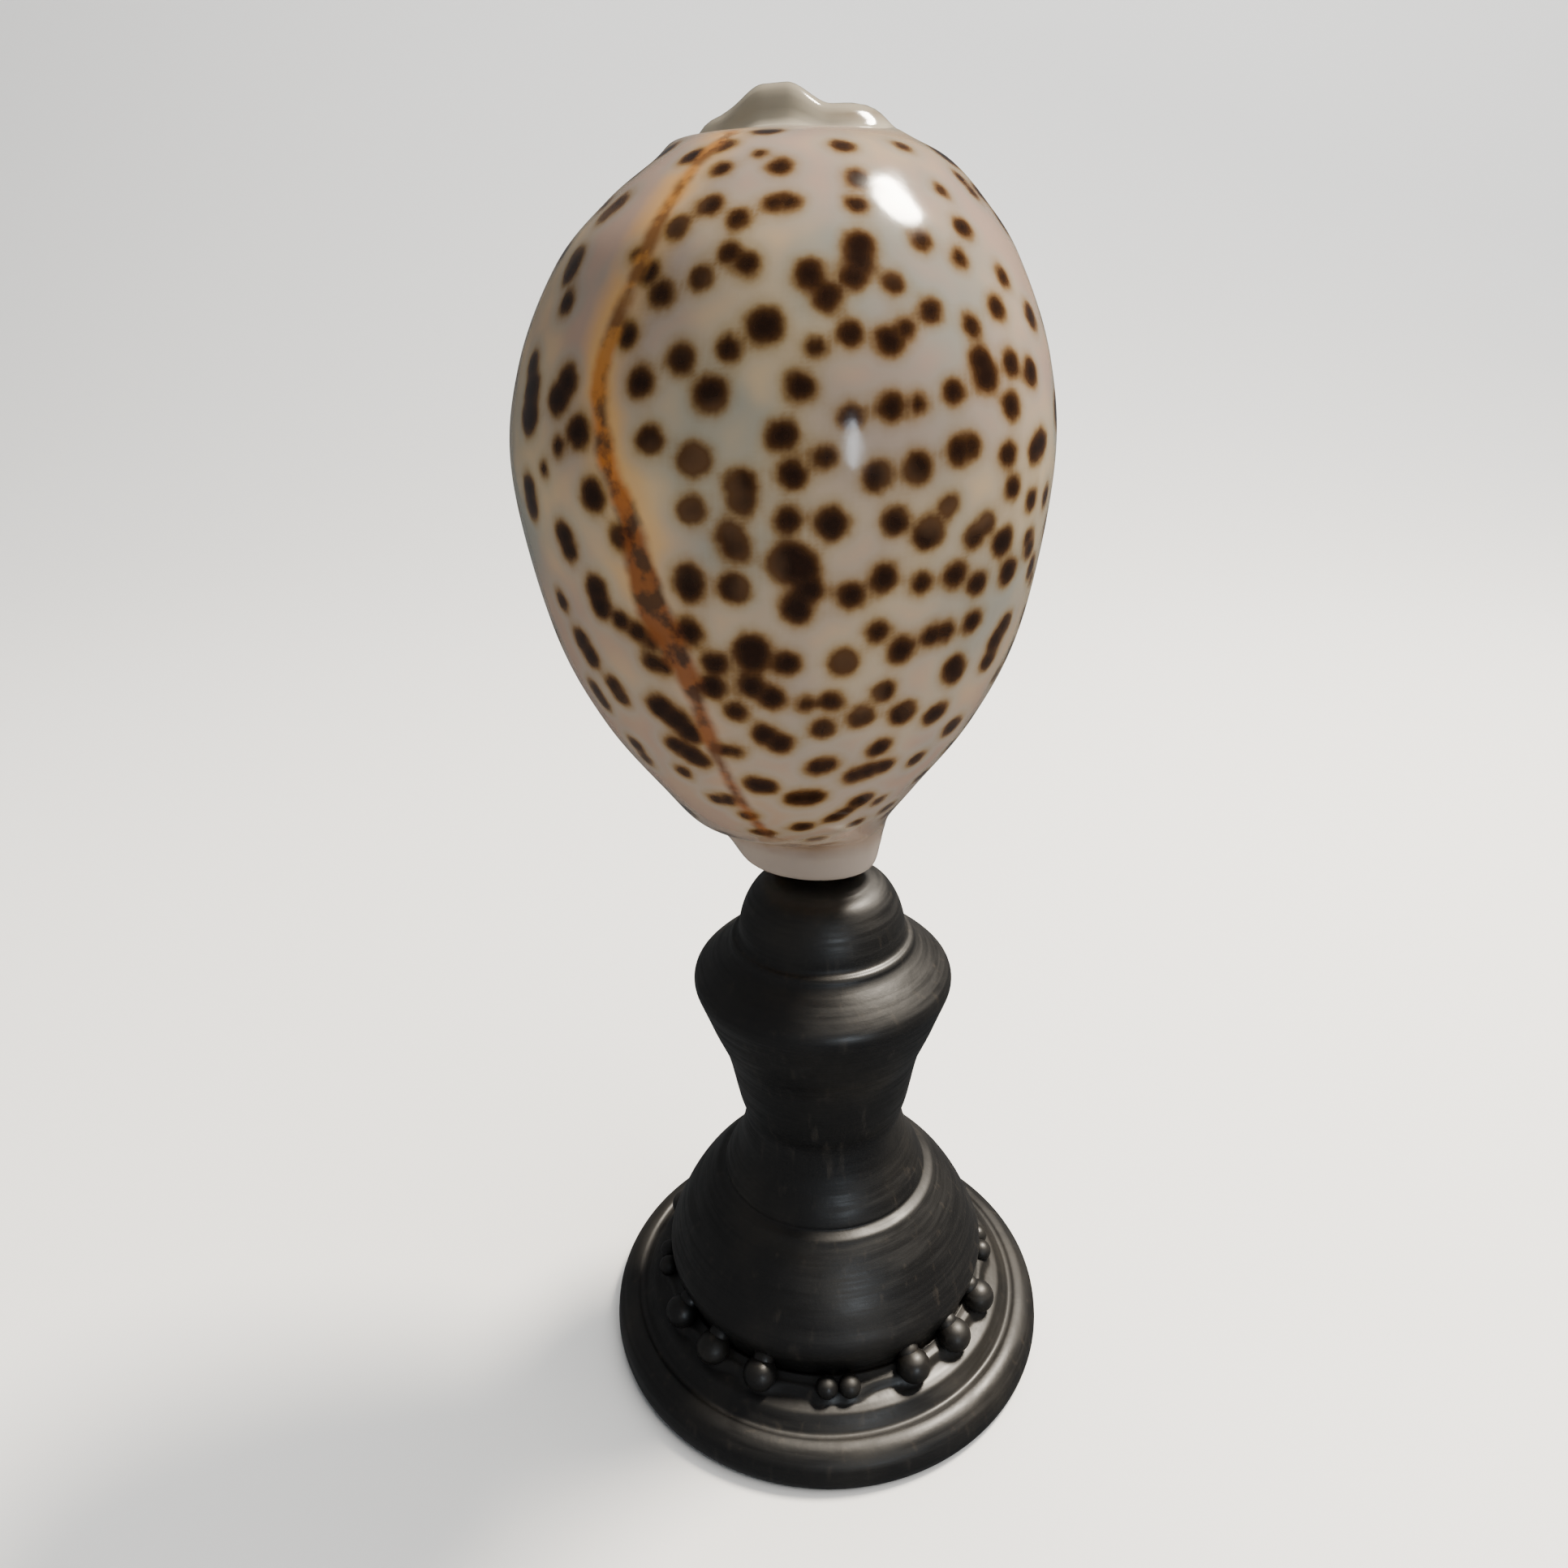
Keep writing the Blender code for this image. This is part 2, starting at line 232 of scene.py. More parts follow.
def build_shell(surface):
    verts = []
    lips = []
    places = []
    for place in station_places():
        z_hump, z_lip, outer, inner = shell_walls(place)
        loop = np.concatenate((outer, inner[::-1]))
        verts.append(shell_spots(loop, z_hump, z_lip))
        lips.append(np.concatenate((outer[:, 2], np.full(len(inner), 2.0))))
        places.append(np.full(len(loop), place))
    count = len(verts[0])
    ring = np.arange(count)
    after = (ring + 1) % count
    faces = []
    for row in range(len(verts) - 1):
        low, high = row * count, (row + 1) * count
        faces += np.stack((low + ring, high + ring, high + after, low + after), axis=1).tolist()
    faces.append(ring.tolist())
    faces.append((ring + (len(verts) - 1) * count)[::-1].tolist())
    made = mesh_object("cowrie_shell", np.concatenate(verts).tolist(), faces, surface)
    bm = bmesh.new()
    bm.from_mesh(made.data)
    ends = [f for f in bm.faces if len(f.verts) > 4]
    bmesh.ops.triangulate(bm, faces=ends)
    bmesh.ops.recalc_face_normals(bm, faces=bm.faces[:])
    bm.to_mesh(made.data)
    bm.free()
    return made, np.concatenate(lips), np.concatenate(places)


# Spots seen from the front: across and down in the photograph's frame, with their radius.
# They are laid on the curved shell along the lines of sight.
FRONT_SPOTS = (
    (947, 161, 20), (891, 180, 16), (854, 192, 19), (935, 189, 9), (890, 208, 15), (961, 205, 17),
    (1038, 180, 16), (1112, 180, 13), (1059, 220, 17), (875, 252, 18), (910, 269, 15),
    (954, 250, 16), (972, 249, 16), (1056, 252, 12), (833, 280, 18), (763, 250, 17), (747, 264, 16),
    (1159, 234, 12), (1184, 220, 13), (1198, 236, 12), (1186, 280, 15), (1135, 296, 17),
    (1059, 301, 20), (1059, 320, 20), (1182, 318, 15), (900, 312, 15), (922, 325, 17),
    (1051, 341, 18), (1103, 350, 16), (997, 338, 22), (1018, 365, 20), (863, 343, 16),
    (800, 335, 16), (816, 362, 19), (784, 313, 9), (709, 320, 18), (702, 336, 16), (698, 373, 17),
    (1147, 383, 18), (942, 401, 25), (898, 429, 17), (773, 413, 16), (1047, 411, 16),
    (1096, 422, 19), (1117, 404, 13), (1005, 429, 13), (840, 442, 19), (1197, 401, 16),
    (1209, 445, 19), (1215, 464, 20), (1228, 379, 16), (1270, 390, 18), (1236, 341, 14),
    (1245, 446, 18), (1270, 458, 18), (789, 471, 20), (875, 485, 24), (986, 476, 20),
    (700, 469, 19), (688, 490, 20), (655, 480, 23), (652, 513, 24), (656, 450, 17), (1175, 483, 16),
    (1246, 501, 18), (1098, 501, 19), (1131, 498, 13), (800, 541, 19), (963, 536, 20),
    (1049, 513, 16), (854, 566, 20), (1017, 564, 17), (977, 585, 19), (1080, 587, 20),
    (1131, 576, 20), (1181, 557, 20), (1198, 549, 15), (1242, 560, 18), (1275, 555, 17),
    (1283, 546, 17), (1248, 601, 16), (1271, 615, 16), (1288, 611, 14), (712, 532, 20),
    (688, 551, 11), (652, 601, 18), (655, 622, 18), (670, 578, 9), (730, 611, 19), (914, 599, 20),
    (916, 618, 20), (851, 629, 19), (970, 642, 18), (1026, 646, 23), (1103, 643, 18),
    (1145, 658, 22), (1170, 622, 14), (1200, 662, 18), (1215, 646, 16), (1235, 668, 20),
    (900, 657, 19), (907, 674, 20), (695, 660, 18), (701, 678, 16), (765, 662, 16), (972, 692, 26),
    (989, 699, 21), (998, 727, 19), (983, 750, 21), (847, 711, 19), (851, 725, 19), (903, 725, 20),
    (1089, 713, 21), (1049, 734, 20), (1135, 718, 17), (1177, 708, 20), (1204, 719, 19),
    (1242, 705, 19), (1268, 676, 16), (1270, 699, 16), (1267, 662, 13), (735, 725, 19),
    (740, 746, 18), (693, 741, 14), (765, 764, 14), (786, 778, 15), (805, 790, 14), (849, 779, 20),
    (926, 799, 22), (928, 813, 20), (1082, 779, 16), (1112, 800, 20), (1148, 783, 17),
    (1166, 778, 16), (1198, 765, 18), (1238, 769, 15), (1226, 790, 16), (1217, 814, 16),
    (1040, 816, 19), (969, 818, 18), (882, 818, 17), (879, 846, 19), (926, 845, 19), (951, 860, 19),
    (803, 816, 14), (819, 821, 12), (716, 788, 17), (728, 809, 16), (756, 844, 13), (765, 858, 13),
    (735, 851, 14), (744, 865, 12), (814, 872, 21), (833, 886, 20), (849, 902, 20), (851, 928, 17),
    (833, 918, 16), (865, 937, 12), (842, 951, 10), (907, 877, 15), (942, 905, 18), (961, 916, 18),
    (993, 868, 12), (1024, 864, 15), (1012, 898, 16), (1062, 884, 17), (1089, 852, 15),
    (1112, 879, 19), (1149, 882, 16), (1156, 877, 12), (1172, 895, 16), (1174, 821, 17),
    (1177, 830, 14), (891, 924, 12), (905, 925, 12), (1007, 945, 16), (1021, 942, 14),
    (1052, 956, 17), (1070, 950, 17), (1089, 944, 16), (1084, 921, 17), (1128, 935, 14),
    (931, 967, 16), (945, 969, 14), (984, 984, 18), (1000, 983, 18), (1028, 1007, 15),
    (1061, 986, 16), (1042, 1000, 12), (1082, 987, 11), (989, 1019, 16), (1054, 1014, 12),
    (898, 986, 13), (884, 985, 11), (921, 1005, 12), (940, 1026, 14), (1005, 1034, 12),
    (1135, 956, 12), (1147, 949, 11), (784, 918, 13), (796, 935, 12), (1093, 995, 11),
    (1228, 830, 12), (1196, 886, 12), (1205, 877, 12), (1270, 714, 9),
)
HIDDEN_SPOT_SEED = 11
HIDDEN_SPOT_TRIES = 9000
HIDDEN_SPOT_RADII = (0.9, 1.9)
HIDDEN_SPOT_GAP = 1.55 * MM
HIDDEN_CLOSE_GAP = 0.31 * MM
HIDDEN_CLOSE_SHARE = 0.04
EDGE_ON = -0.1
SPOT_BLEND = 0.35 * MM
SPOT_FLOOR_HEIGHT = 0.079
SPOT_ROOF_HEIGHT = 0.1495
SPOT_LIP_SHARE = 0.84

# The pattern fades out towards both ends, over these heights, and towards the base
PATTERN_START = 0.0755
PATTERN_START_FADE = 0.004
PATTERN_END = 0.1512
PATTERN_END_FADE = 0.0012
PATTERN_LIP_SHARE = 0.92
PATTERN_LIP_FADE = 0.12

# Grooves darkened with painted brown shade, above the tip and behind the right lobe: place in the
# section table and width
TIP_GROOVE = (3.2, 1.0)
SPIRE_GROOVE = (15.95, 0.4)
SPIRE_GROOVE_FADE = 3.0 * MM

# The line where the two halves of the mantle met, from the top down, in the photograph's frame
MANTLE_LINE = (
    (911, 157), (869, 190), (836, 235), (808, 282), (789, 324), (765, 381), (746, 437), (737, 485),
    (742, 532), (746, 565), (760, 602), (775, 645), (789, 702), (803, 749), (831, 801), (855, 853),
    (874, 909), (893, 952), (921, 999), (949, 1032),
)
MANTLE_HALF_WIDTHS = (
    (72.0, 0.3), (84.0, 0.4), (98.0, 0.7), (104.0, 1.1), (109.0, 1.6), (115.0, 1.6), (120.0, 1.0),
    (127.0, 0.8), (138.0, 0.8), (152.0, 0.6),
)


def camera_axes():
    """The camera's right, up and forward directions in the part's frame."""
    cp, sp = math.cos(CAMERA_PITCH), math.sin(CAMERA_PITCH)
    cy, sy = math.cos(CAMERA_YAW), math.sin(CAMERA_YAW)
    cr, sr = math.cos(CAMERA_ROLL), math.sin(CAMERA_ROLL)
    level = Vector((cy, sy, 0.0))
    upright = Vector((-sy * sp, cy * sp, cp))
    forward = Vector((-sy * cp, cy * cp, -sp))
    return cr * level + sr * upright, cr * upright - sr * level, forward


def sight(px, py):
    """Direction of the line of sight through a place in the photograph."""
    right, up, forward = camera_axes()
    half = 0.5 * PHOTO_SIZE
    return (forward + right * ((px - half) / FOCAL_PX) - up * ((py - half) / FOCAL_PX)).normalized()


def lay_on_shell(tree, px, py):
    """Where a line of sight first meets the shell, and how far that is ahead of the camera."""
    line = sight(px, py)
    hit = tree.ray_cast(CAMERA_SPOT, line)[0]
    if hit is None:
        hit = tree.find_nearest(CAMERA_SPOT + line * (-CAMERA_SPOT.y / line.y))[0]
    return hit, (hit - CAMERA_SPOT).dot(camera_axes()[2])


def shell_marks(shell, lips, places):
    """The pattern on every point: distances to spots and mantle line, bareness, and painted shade in the
    grooves.
    """
    mesh = shell.data
    spots = np.empty(len(mesh.vertices) * 3)
    mesh.vertices.foreach_get("co", spots)
    spots = spots.reshape(-1, 3)
    tree = BVHTree.FromPolygons([v.co for v in mesh.vertices], [p.vertices for p in mesh.polygons])

    centres, radii = [], []
    for px, py, size in FRONT_SPOTS:
        hit, depth = lay_on_shell(tree, px, py)
        centres.append(hit)
        radii.append(size * depth / FOCAL_PX)
    line = [lay_on_shell(tree, px, py)[0] for px, py in smooth_outline(MANTLE_LINE, 3)]

    seeded = np.random.default_rng(HIDDEN_SPOT_SEED)
    low_enough = (spots[:, 2] > SPOT_FLOOR_HEIGHT) & (spots[:, 2] < SPOT_ROOF_HEIGHT)
    outside = np.flatnonzero((lips < SPOT_LIP_SHARE) & low_enough)
    away = spots[outside] - np.array(CAMERA_SPOT)
    normals = np.empty(len(mesh.vertices) * 3)
    mesh.vertices.foreach_get("normal", normals)
    facing = np.sum(normals.reshape(-1, 3)[outside] * away, axis=1)
    hidden = outside[facing > EDGE_ON * np.linalg.norm(away, axis=1)]
    for index in seeded.choice(hidden, HIDDEN_SPOT_TRIES):
        spot = Vector(spots[index])
        radius = seeded.uniform(*HIDDEN_SPOT_RADII) * MM
        close = seeded.random() < HIDDEN_CLOSE_SHARE
        gap = HIDDEN_CLOSE_GAP if close else HIDDEN_SPOT_GAP
        if all((spot - c).length > radius + r + gap for c, r in zip(centres, radii)):
            centres.append(spot)
            radii.append(radius)

    centres = np.array([tuple(c) for c in centres])
    radii = np.array(radii)
    total = np.zeros(len(spots))
    for centre, radius in zip(centres, radii):
        reach = np.linalg.norm(spots - centre, axis=1) - radius
        total += np.exp(-np.clip(reach, -0.004, 0.01) / SPOT_BLEND)
    edge = -SPOT_BLEND * np.log(np.maximum(total, 1e-12))

    line = np.array([tuple(p) for p in line])
    nearest = np.full(len(spots), 0.1)
    for a, b in zip(line, line[1:]):
        along = np.clip((spots - a) @ (b - a) / ((b - a) @ (b - a)), 0.0, 1.0)
        nearest = np.minimum(nearest, np.linalg.norm(spots - a - along[:, None] * (b - a), axis=1))
    heights, widths = np.array(MANTLE_HALF_WIDTHS).T
    reach = nearest - np.interp(spots[:, 2] / MM, heights, widths) * MM

    rise = np.clip((spots[:, 2] - PATTERN_START) / PATTERN_START_FADE, 0.0, 1.0)
    drop = np.clip((PATTERN_END - spots[:, 2]) / PATTERN_END_FADE, 0.0, 1.0)
    base = np.clip((PATTERN_LIP_SHARE - lips) / PATTERN_LIP_FADE, 0.0, 1.0)
    # painted shade: mask for darkening the grooves above the tip and, on the right side only, behind the
    # right lobe
    tip, spire = (np.exp(-((places - at) / wide) ** 2) for at, wide in (TIP_GROOVE, SPIRE_GROOVE))
    groove_shade_mask = tip + spire * np.clip(spots[:, 0] / SPIRE_GROOVE_FADE, 0.0, 1.0)
    marks_by_name = {
        "spot_edge": edge / MM,
        "mantle_edge": reach / MM,
        "patterned": rise * drop * base,
        "groove_shade": groove_shade_mask * np.clip(1.0 - lips, 0.0, 1.0),
    }
    for name, values in marks_by_name.items():
        marks = mesh.attributes.new(name, "FLOAT", "POINT")
        marks.data.foreach_set("value", values.astype(np.float32))


class Nodes:
    """A material's node tree, with short calls for the nodes used here."""

    def __init__(self, name, roughness, specular=0.5):
        self.material = bpy.data.materials.new(name)
        self.material.use_nodes = True
        self.tree = self.material.node_tree
        self.shader = self.tree.nodes["Principled BSDF"]
        self.shader.inputs["Roughness"].default_value = roughness
        self.shader.inputs["Specular IOR Level"].default_value = specular

    def link(self, source, target):
        self.tree.links.new(source, target)

    def attribute(self, name):
        node = self.tree.nodes.new("ShaderNodeAttribute")
        node.attribute_name = name
        return node.outputs["Fac"]

    def place(self):
        return self.tree.nodes.new("ShaderNodeTexCoord").outputs["Object"]

    def height(self):
        node = self.tree.nodes.new("ShaderNodeSeparateXYZ")
        self.link(self.place(), node.inputs[0])
        return node.outputs["Z"]

    def stretched(self, scale):
        node = self.tree.nodes.new("ShaderNodeMapping")
        node.inputs["Scale"].default_value = scale
        self.link(self.place(), node.inputs["Vector"])
        return node.outputs["Vector"]

    def noise(self, scale, detail=2.0, vector=None, distortion=0.0):
        node = self.tree.nodes.new("ShaderNodeTexNoise")
        node.inputs["Scale"].default_value = scale
        node.inputs["Detail"].default_value = detail
        node.inputs["Distortion"].default_value = distortion
        self.link(vector or self.place(), node.inputs["Vector"])
        return node.outputs["Fac"]

    def sum(self, operation, first, second, third=None):
        node = self.tree.nodes.new("ShaderNodeMath")
        node.operation = operation
        for socket, value in zip(node.inputs, (first, second, third)):
            if value is None:
                continue
            if isinstance(value, (int, float)):
                socket.default_value = value
            else:
                self.link(value, socket)
        return node.outputs[0]

    def span(self, value, low, high, to_low=0.0, to_high=1.0):
        node = self.tree.nodes.new("ShaderNodeMapRange")
        node.interpolation_type = "SMOOTHSTEP"
        self.link(value, node.inputs["Value"])
        for name, size in (("From Min", low), ("From Max", high), ("To Min", to_low), ("To Max", to_high)):
            node.inputs[name].default_value = size
        return node.outputs["Result"]

    def ramp(self, value, low, high, stops):
        share = self.tree.nodes.new("ShaderNodeMapRange")
        self.link(value, share.inputs["Value"])
        share.inputs["From Min"].default_value = low
        share.inputs["From Max"].default_value = high
        node = self.tree.nodes.new("ShaderNodeValToRGB")
        elements = node.color_ramp.elements
        while len(elements) < len(stops):
            elements.new(0.5)
        for element, (at, colour) in zip(elements, stops):
            element.position = (at - low) / (high - low)
            element.color = (*colour, 1.0)
        self.link(share.outputs["Result"], node.inputs["Fac"])
        return node.outputs["Color"]

    def mix(self, share, first, second):
        node = self.tree.nodes.new("ShaderNodeMix")
        node.data_type = "RGBA"
        self.link(share, node.inputs[0])
        for socket, value in ((node.inputs[6], first), (node.inputs[7], second)):
            if isinstance(value, tuple):
                socket.default_value = (*value, 1.0)
            else:
                self.link(value, socket)
        return node.outputs[2]

    def bump(self, height, strength, distance, under=None):
        node = self.tree.nodes.new("ShaderNodeBump")
        node.inputs["Strength"].default_value = strength
        node.inputs["Distance"].default_value = distance
        self.link(height, node.inputs["Height"])
        if under is not None:
            self.link(under, node.inputs["Normal"])
        return node.outputs["Normal"]

    def paint(self, socket, value):
        self.link(value, self.shader.inputs[socket])


def shell_material():
    m = Nodes("cowrie_enamel", 0.1, 0.36)
    m.shader.inputs["Subsurface Weight"].default_value = 0.10
    m.shader.inputs["Subsurface Radius"].default_value = (1.0, 0.7, 0.5)
    m.shader.inputs["Subsurface Scale"].default_value = 0.0012

    cream, pink_grey, blue_grey = (0.35, 0.26, 0.155), (0.245, 0.175, 0.14), (0.17, 0.17, 0.148)
    patterned = m.attribute("patterned")
    ground = m.mix(m.span(m.noise(38.0, 3.0), 0.40, 0.60), cream, pink_grey)
    ground = m.mix(m.span(m.noise(60.0, 3.0, m.stretched((1.0, 1.2, 0.8))), 0.50, 0.72), ground, blue_grey)
    line_wobble = m.sum("MULTIPLY_ADD", m.noise(300.0, 4.0), 1.5, -0.75)
    line_edge = m.sum("ADD", m.attribute("mantle_edge"), line_wobble)
    glow = m.span(m.height(), 0.100, 0.135, 0.35, 0.80)
    glow = m.sum("MULTIPLY", glow, m.span(line_edge, 0.0, 3.2, 1.0, 0.0))
    ground = m.mix(glow, ground, (0.42, 0.235, 0.075))
    # painted shade: the ground colour darkens towards the bottom, where less light falls from above
    ground = m.mix(m.span(m.height(), 0.078, 0.125, 0.75, 0.0), ground, (0.150, 0.102, 0.082))

    wobble = m.sum("MULTIPLY_ADD", m.noise(700.0, 3.0), 0.7, -0.35)
    smudge = m.sum("MULTIPLY_ADD", m.noise(180.0, 2.0), 0.9, -0.45)
    edge = m.sum("ADD", m.attribute("spot_edge"), m.sum("ADD", wobble, smudge))
    spot_colour = m.ramp(edge, -1.2, 2.4, (
        (-1.0, (0.010, 0.004, 0.002)),
        (-0.55, (0.020, 0.008, 0.003)),
        (-0.2, (0.048, 0.021, 0.006)),
        (0.1, (0.105, 0.060, 0.020)),
        (0.45, (0.150, 0.120, 0.075)),
        (1.1, (0.170, 0.172, 0.150)),
    ))
    spot_cover = m.ramp(edge, -1.2, 2.4, (
        (-0.3, (1.0, 1.0, 1.0)),
        (0.1, (0.86, 0.86, 0.86)),
        (0.5, (0.58, 0.58, 0.58)),
        (1.1, (0.38, 0.38, 0.38)),
        (2.1, (0.0, 0.0, 0.0)),
    ))
    pale_core = m.span(edge, -0.6, 0.1, 0.6, 0.0)
    pale_core = m.sum("MULTIPLY", m.span(m.noise(95.0, 2.0), 0.56, 0.72), pale_core)
    spot_colour = m.mix(pale_core, spot_colour, (0.085, 0.045, 0.022))
    coloured = m.mix(m.sum("MULTIPLY", spot_cover, patterned), ground, spot_colour)

    blotch = m.span(m.noise(380.0, 5.0), 0.42, 0.58)
    bright = m.ramp(m.height(), 0.090, 0.140, (
        (0.098, (0.13, 0.045, 0.014)),
        (0.117, (0.12, 0.034, 0.007)),
        (0.124, (0.27, 0.080, 0.010)),
        (0.136, (0.27, 0.115, 0.024)),
    ))
    dark = m.ramp(m.height(), 0.090, 0.140, (
        (0.098, (0.060, 0.022, 0.009)),
        (0.106, (0.022, 0.007, 0.004)),
        (0.122, (0.032, 0.010, 0.004)),
        (0.138, (0.11, 0.045, 0.012)),
    ))
    line_colour = m.mix(blotch, bright, dark)
    line_cover = m.sum("MULTIPLY", m.span(line_edge, -0.6, 0.7, 0.92, 0.0), patterned)
    coloured = m.mix(line_cover, coloured, line_colour)

    bare = m.mix(m.span(m.noise(90.0, 3.0), 0.4, 0.66), (0.42, 0.38, 0.31), (0.28, 0.26, 0.23))
    bare = m.mix(m.span(m.height(), 0.1495, 0.1525, 0.0, 0.7), bare, (0.20, 0.175, 0.125))
    # painted shade: the bare collar darkens towards the bottom tip, where it sits in shade
    bare = m.mix(m.span(m.height(), 0.074, 0.090, 0.8, 0.0), bare, (0.19, 0.155, 0.14))
    coloured = m.mix(patterned, bare, coloured)
    # painted shade: brown shade painted into the grooves, made patchy by noise
    groove_shade_share = m.sum("MULTIPLY", m.attribute("groove_shade"), m.span(m.noise(140.0, 4.0), 0.35, 0.65, 0.35, 0.85))
    coloured = m.mix(groove_shade_share, coloured, (0.085, 0.048, 0.024))
    m.paint("Base Color", coloured)
    m.paint("Roughness", m.span(m.noise(240.0, 4.0), 0.3, 0.75, 0.07, 0.16))
    ripples = m.bump(m.noise(55.0, 2.0), 0.35, 0.0004)
    m.paint("Normal", m.bump(m.noise(900.0, 3.0), 0.12, 0.00006, ripples))
    return m.material


def stand_material():
    m = Nodes("ebonised_turned_wood", 0.45, 0.8)
    rubbed = m.span(m.noise(70.0, 4.0), 0.46, 0.72)
    black = m.mix(rubbed, (0.0035, 0.0032, 0.0030), (0.010, 0.0085, 0.0065))
    grain = m.noise(1.0, 3.0, m.stretched((900.0, 900.0, 90.0)))
    black = m.mix(m.span(grain, 0.58, 0.78), black, (0.015, 0.012, 0.009))
    m.paint("Base Color", black)
    turning = m.noise(1.0, 4.0, m.stretched((60.0, 60.0, 2600.0)))
    scuffs = m.noise(1.0, 5.0, m.stretched((120.0, 120.0, 700.0)), 0.6)
    m.paint("Roughness", m.span(m.sum("ADD", turning, scuffs), 0.7, 1.35, 0.38, 0.60))
    lathe = m.bump(turning, 0.15, 0.00006)
    pores = m.bump(grain, 0.2, 0.00006, lathe)
    m.paint("Normal", m.bump(m.noise(420.0, 4.0), 0.3, 0.00014, pores))
    return m.material


def glue_material():
    m = Nodes("old_glue", 0.28, 0.5)
    m.shader.inputs["Subsurface Weight"].default_value = 0.2
    m.shader.inputs["Subsurface Scale"].default_value = 0.001
    specks = m.span(m.noise(600.0, 4.0), 0.4, 0.62)
    m.paint("Base Color", m.mix(specks, (0.34, 0.20, 0.05), (0.03, 0.02, 0.012)))
    m.paint("Normal", m.bump(m.noise(800.0, 3.0), 0.5, 0.0002))
    return m.material


def floor_material():
    m = Nodes("pale_floor", 0.6, 0.2)
    m.paint("Base Color", m.mix(m.noise(3.0, 2.0), (0.80, 0.80, 0.79), (0.83, 0.83, 0.82)))
    return m.material


# Stand: radius and height along its turned outline, from the foot up, in millimetres
STAND_SIDES = 180
STAND_OUTLINE = (
    (29.4, 0.0), (29.9, 0.5), (30.2, 1.4), (30.2, 2.4), (29.9, 3.9), (29.1, 4.9), (28.2, 5.45),
    (27.3, 5.6), (26.8, 5.45), (26.3, 5.5), (25.8, 6.0), (25.2, 6.7), (24.8, 7.15), (24.2, 7.4),
    (23.7, 7.55), (23.2, 7.7), (22.7, 7.9), (22.2, 8.1), (21.6, 8.3), (20.8, 8.95), (20.7, 9.9),
    (21.2, 11.2), (21.75, 12.8), (21.9, 14.2),
    (21.6, 15.4), (21.0, 16.7), (20.2, 18.6), (19.2, 20.5), (18.0, 22.4), (16.6, 24.2), (15.4, 25.5),
    (14.9, 26.0), (14.2, 26.3), (13.7, 26.6), (13.6, 27.1), (13.1, 28.4), (12.2, 30.0), (11.3, 32.0),
    (10.75, 34.0), (10.5, 36.0), (10.75, 37.4), (11.25, 39.2), (11.7, 41.5), (12.2, 44.2), (12.65, 46.2),
    (13.0, 47.3), (13.6, 48.8), (14.4, 50.8), (15.1, 52.8), (15.7, 54.5), (16.2, 55.9), (16.4, 56.7),
    (16.35, 57.5), (16.0, 58.3), (15.2, 59.2), (14.2, 60.1), (13.1, 61.0), (12.2, 61.7), (11.75, 62.2),
    (11.6, 62.6), (11.3, 62.95), (10.8, 63.15), (10.5, 63.6), (10.4, 64.6), (10.15, 65.8), (9.7, 67.2),
    (9.1, 68.4), (8.4, 69.4), (7.5, 70.1), (6.4, 70.5), (5.2, 70.7), (0.01, 70.7),
)
OUTLINE_STEPS = 4
BEAD_REPEATS = 4
BEAD_START_DEG = 3.9
SMALL_BEAD_TURNS_DEG = (-3.7, 3.7)
SMALL_BEAD = (22.5, 9.2, 1.45, 1.45)
DROP_TURNS_DEG = (26.0, 45.0, 64.0)
DROP = (22.6, 9.7, 2.2, 2.15)
DROP_CAP = (21.3, 11.1, 1.4, 1.4)
APRON_RADIUS = 22.5
APRON_SCALLOP = 1.1
APRON_THICKNESS = 0.75
APRON_TOP = 8.9
APRON_REACH = 24.3


def smooth_outline(outline, steps):
    """The outline with extra points on a smooth curve through the given ones."""
    points = [np.array(p) for p in outline]
    fine = []
    for i in range(len(points) - 1):
        a, b, c, d = (points[min(max(i + k, 0), len(points) - 1)] for k in (-1, 0, 1, 2))
        for t in np.arange(steps) / steps:
            bend = (c - a) * t + (2.0 * a - 5.0 * b + 4.0 * c - d) * t * t
            fine.append(b + 0.5 * (bend + (3.0 * b - a - 3.0 * c + d) * t ** 3))
    return fine + [points[-1]]


def bead_turns():
    """The turn in degrees of every bead round the foot, with its sizes."""
    beads = []
    for repeat in range(BEAD_REPEATS):
        start = BEAD_START_DEG + 360.0 * repeat / BEAD_REPEATS
        beads += [(start + turn, SMALL_BEAD) for turn in SMALL_BEAD_TURNS_DEG]
        beads += [(start + turn, DROP) for turn in DROP_TURNS_DEG]
        beads += [(start + turn, DROP_CAP) for turn in DROP_TURNS_DEG]
    return beads


def apron(turn, radius, beads):
    """How far the scalloped apron under the beads stands up from the foot, in millimetres."""
    reach = 0.0
    for bead_turn, sizes in beads:
        if sizes != DROP_CAP:
            off = (math.degrees(turn) - bead_turn + 180.0) % 360.0 - 180.0
            reach = max(reach, math.exp(-(off / 5.0) ** 2))
    edge = APRON_RADIUS + APRON_SCALLOP * reach
    return APRON_THICKNESS * smooth_step((edge - radius) / 0.7 + 0.5)


